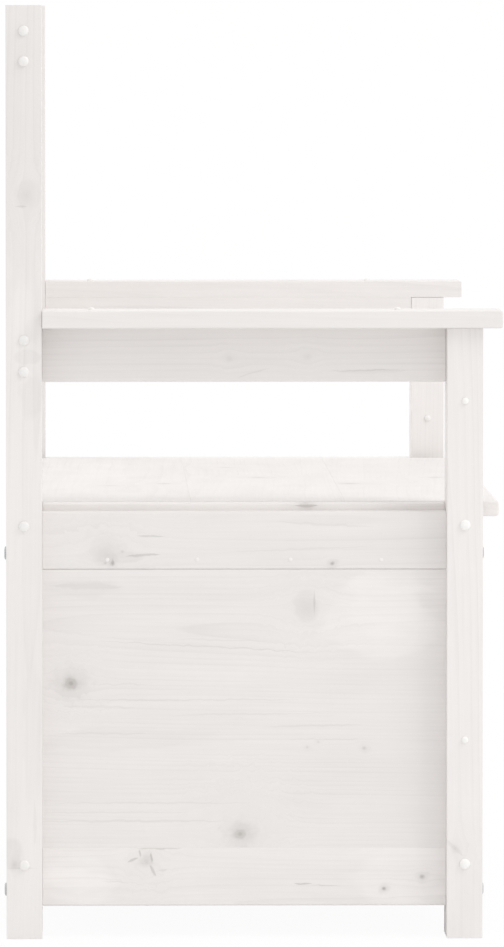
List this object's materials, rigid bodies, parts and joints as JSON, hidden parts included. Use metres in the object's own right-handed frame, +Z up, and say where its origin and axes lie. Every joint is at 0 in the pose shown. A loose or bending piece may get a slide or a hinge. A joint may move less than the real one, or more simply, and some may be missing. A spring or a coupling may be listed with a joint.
{
  "type": "storage bench",
  "caption": "Two-seat pine bench with a slatted back, flat armrests and a closed box under a hinged lid seat.",
  "frame": {"origin": "on the floor, under the middle of the bench's bounding box", "axes": "+Z up, +X along the seat towards the sitter's left arm, +Y towards the back, so the front faces -Y"},
  "size_m": [1.125, 0.515, 0.965],
  "materials": {
    "painted_pine": "thin white paint that shows grain and knots",
    "painted_pine_hidden": "thin white paint inside the box and under the seat",
    "zinc_steel": "zinc plated"
  },
  "bodies": {
    "frame": {"left_post": "painted_pine", "right_post": "painted_pine", "left_leg": "painted_pine", "right_leg": "painted_pine", "left_armrest": "painted_pine", "right_armrest": "painted_pine", "left_arm_apron": "painted_pine", "right_arm_apron": "painted_pine", "left_side_top_rail": "painted_pine", "left_side_bottom_rail": "painted_pine", "left_side_panel": "painted_pine", "right_side_top_rail": "painted_pine", "right_side_bottom_rail": "painted_pine", "right_side_panel": "painted_pine", "front_top_rail": "painted_pine", "front_bottom_rail": "painted_pine", "front_panel": "painted_pine", "rear_top_rail": "painted_pine", "rear_bottom_rail": "painted_pine", "rear_panel": "painted_pine", "back_top_rail": "painted_pine", "back_lower_rail": "painted_pine", "back_slat_1": "painted_pine", "back_slat_2": "painted_pine", "back_slat_3": "painted_pine", "back_slat_4": "painted_pine", "back_slat_5": "painted_pine", "back_slat_6": "painted_pine", "back_slat_7": "painted_pine", "back_slat_8": "painted_pine", "back_slat_9": "painted_pine", "rear_seat_strip": "painted_pine", "left_seat_strip": "painted_pine", "right_seat_strip": "painted_pine", "rear_floor_batten": "painted_pine_hidden", "front_floor_batten": "painted_pine_hidden", "floor_board_1": "painted_pine_hidden", "floor_board_2": "painted_pine_hidden", "floor_board_3": "painted_pine_hidden", "floor_board_4": "painted_pine_hidden", "left_hinge_frame_leaf": "zinc_steel", "left_hinge_pin": "zinc_steel", "right_hinge_frame_leaf": "zinc_steel", "right_hinge_pin": "zinc_steel", "left_rear_upper_bolt": "zinc_steel", "left_rear_lower_bolt": "zinc_steel", "left_front_upper_bolt": "zinc_steel", "left_front_lower_bolt": "zinc_steel", "right_rear_upper_bolt": "zinc_steel", "right_rear_lower_bolt": "zinc_steel", "right_front_upper_bolt": "zinc_steel", "right_front_lower_bolt": "zinc_steel"},
    "lid": {"lid_board_1": "painted_pine", "lid_board_2": "painted_pine", "lid_board_3": "painted_pine", "lid_cleat_1": "painted_pine_hidden", "lid_cleat_2": "painted_pine_hidden", "lid_cleat_3": "painted_pine_hidden", "left_hinge_lid_leaf": "zinc_steel", "right_hinge_lid_leaf": "zinc_steel"}
  },
  "joints": [
    {"name": "lid_hinge", "type": "hinge", "parent": "frame", "child": "lid", "pos_m": [0, 0.2256, 0.45], "axis": [-1, 0, 0], "range_deg": [0, 90.1]}
  ]
}
